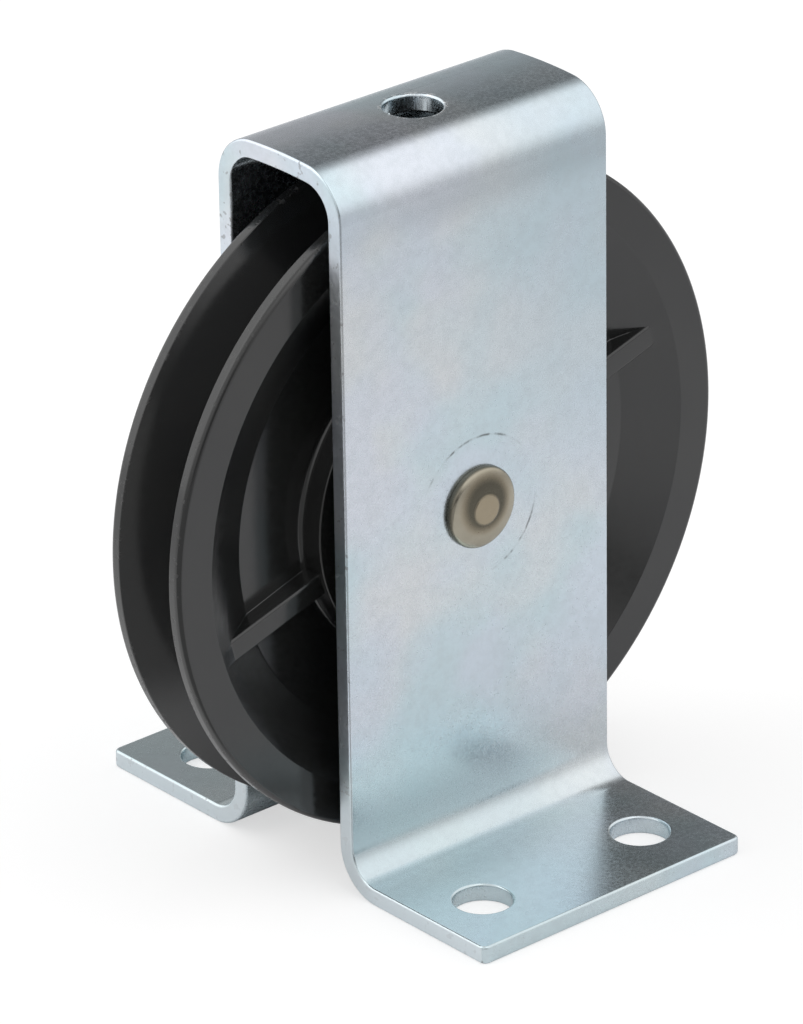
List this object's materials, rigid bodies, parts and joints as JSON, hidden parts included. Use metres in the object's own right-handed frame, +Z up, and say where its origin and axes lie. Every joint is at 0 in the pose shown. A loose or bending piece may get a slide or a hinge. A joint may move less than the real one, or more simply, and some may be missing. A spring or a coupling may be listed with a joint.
{
  "type": "single sheave block",
  "caption": "Grooved black sheave turning on a ball bearing in a folded zinc-plated steel bracket with bolt-down feet.",
  "frame": {"origin": "middle of the bracket's footprint, on the plane that the feet stand on", "axes": "+X across the strip, in the plane of the sheave; +Y along the axle, from the near leg to the far leg; +Z up from the feet to the bridge"},
  "size_m": [0.1, 0.082, 0.1095],
  "materials": {
    "zinc_plated_steel": "bright zinc plating, pale blue-grey, faint mottling",
    "black_nylon": "moulded, low sheen",
    "nickel_plated_steel": "polished, warm grey",
    "bearing_steel": "ground and polished",
    "shield_steel": "pressed sheet, satin",
    "cage_nylon": "natural moulded nylon"
  },
  "bodies": {
    "bracket_and_axle": {"bracket": "zinc_plated_steel", "axle_rivet": "nickel_plated_steel", "axle_sleeve": "bearing_steel", "near_spacer_ring": "zinc_plated_steel", "far_spacer_ring": "zinc_plated_steel", "bearing_inner_ring": "bearing_steel"},
    "sheave": {"sheave": "black_nylon", "bearing_outer_ring": "bearing_steel", "near_bearing_shield": "shield_steel", "far_bearing_shield": "shield_steel"},
    "ball_cage": {"bearing_cage": "cage_nylon", "bearing_ball_1": "bearing_steel", "bearing_ball_2": "bearing_steel", "bearing_ball_3": "bearing_steel", "bearing_ball_4": "bearing_steel", "bearing_ball_5": "bearing_steel", "bearing_ball_6": "bearing_steel", "bearing_ball_7": "bearing_steel", "bearing_ball_8": "bearing_steel"}
  },
  "joints": [
    {"name": "sheave_spin", "type": "hinge", "parent": "bracket_and_axle", "child": "sheave", "pos_m": [0, 0, 0.053], "axis": [0, 1, 0], "continuous": true},
    {"name": "cage_spin", "type": "hinge", "parent": "bracket_and_axle", "child": "ball_cage", "pos_m": [0, 0, 0.053], "axis": [0, 1, 0], "continuous": true}
  ],
  "couplings": [
    {"joint": "cage_spin", "follows": "sheave_spin", "ratio": 0.619}
  ]
}
